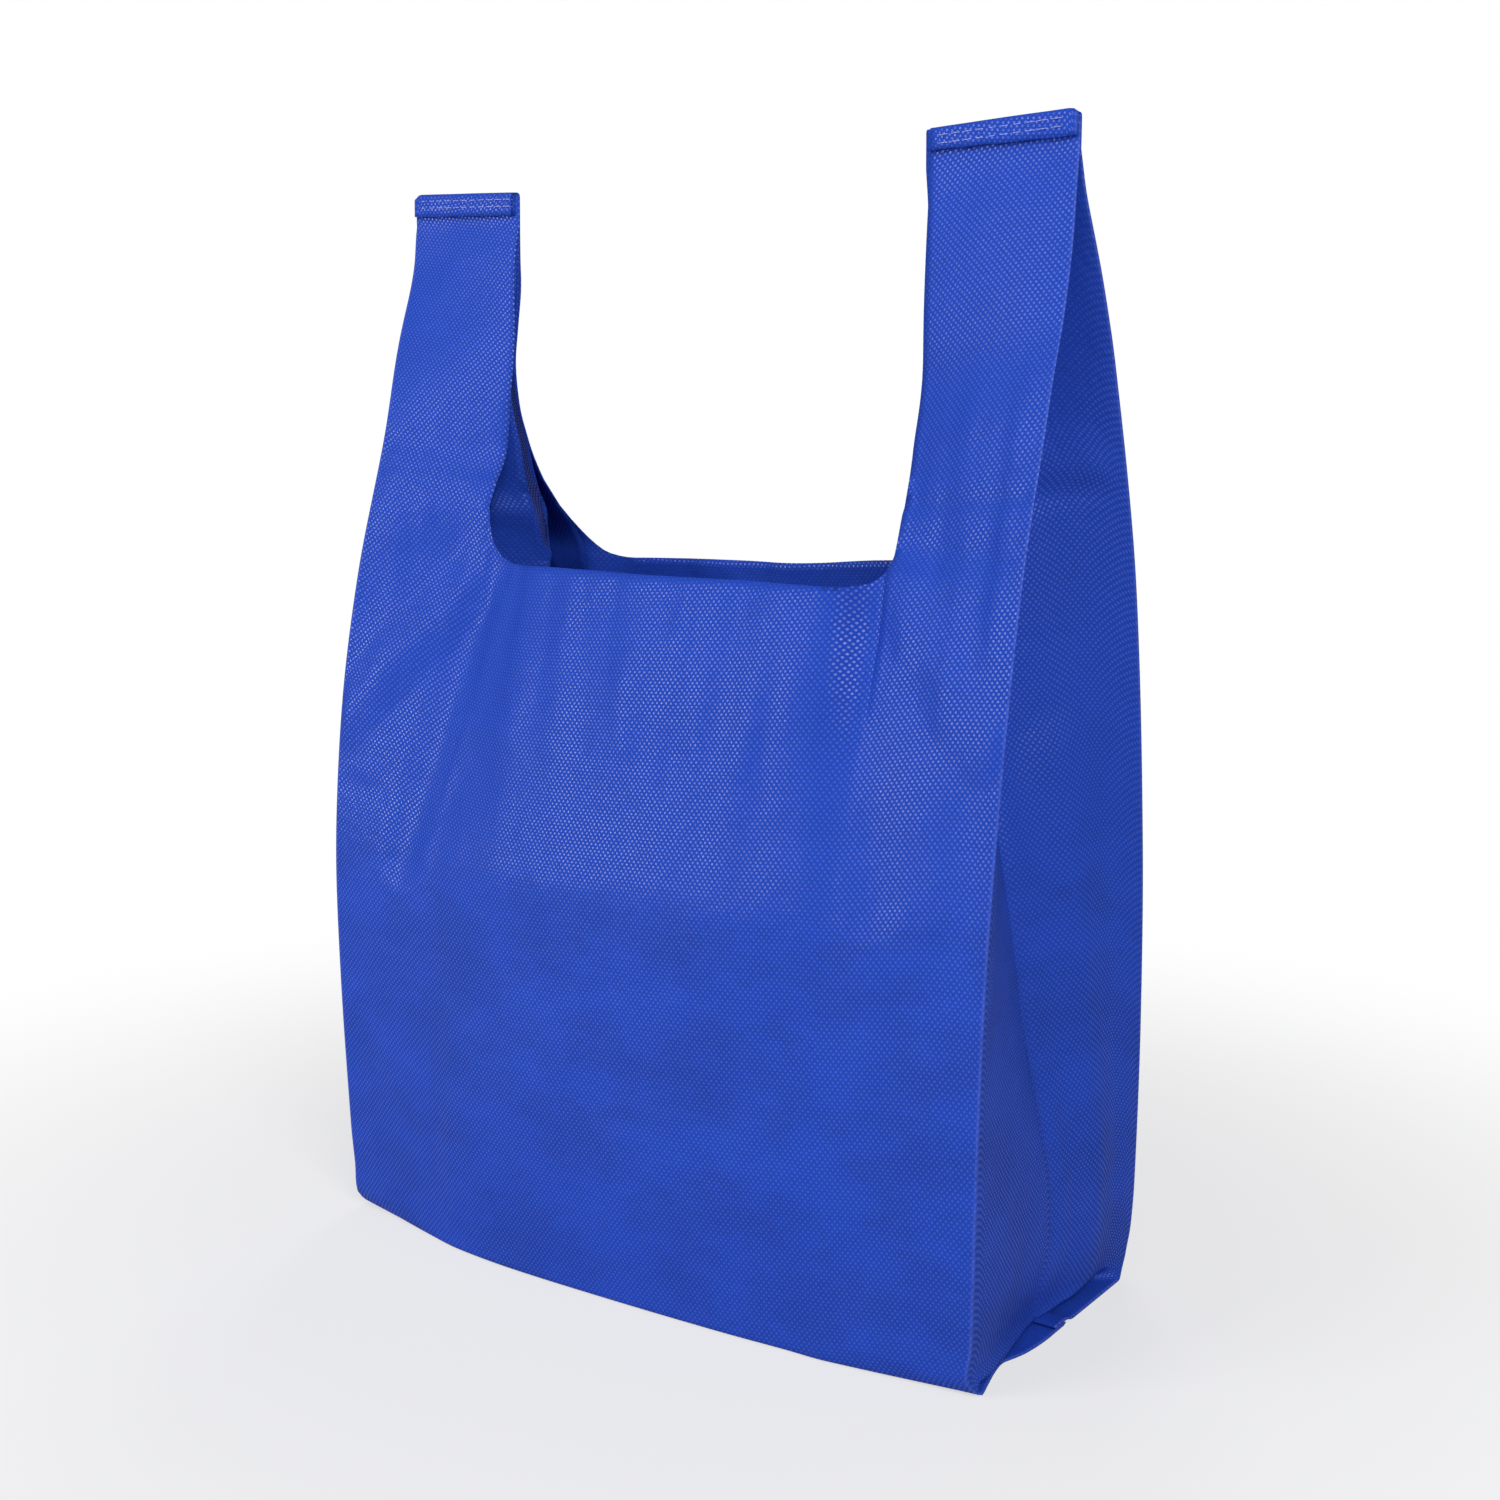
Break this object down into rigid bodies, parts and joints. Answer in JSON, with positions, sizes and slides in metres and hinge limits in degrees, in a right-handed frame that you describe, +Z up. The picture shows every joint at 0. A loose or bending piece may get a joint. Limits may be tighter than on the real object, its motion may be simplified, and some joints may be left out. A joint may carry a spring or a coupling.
{
  "type": "carrier bag",
  "caption": "Vest-style carrier bag of blue nonwoven cloth, standing open, with side gussets, a folded base, a cut-out mouth and two sewn handles.",
  "frame": {"origin": "on the floor, under the middle of the bag's box", "axes": "+Z up along the bag's height, the longest extent; +Y from the front panel to the back panel, the shortest extent; +X to the right along the panel's width"},
  "size_m": [0.3052, 0.1472, 0.415],
  "materials": {
    "cloth": "spunbond nonwoven polypropylene, matt, embossed with small bond points",
    "thread": "pale polyester sewing thread"
  },
  "bodies": {
    "root": {"bag_body": "cloth", "left_upper_needle_thread": "thread", "left_upper_bobbin_thread": "thread", "left_lower_needle_thread": "thread", "left_lower_bobbin_thread": "thread", "right_upper_needle_thread": "thread", "right_upper_bobbin_thread": "thread", "right_lower_needle_thread": "thread", "right_lower_bobbin_thread": "thread"}
  },
  "joints": []
}
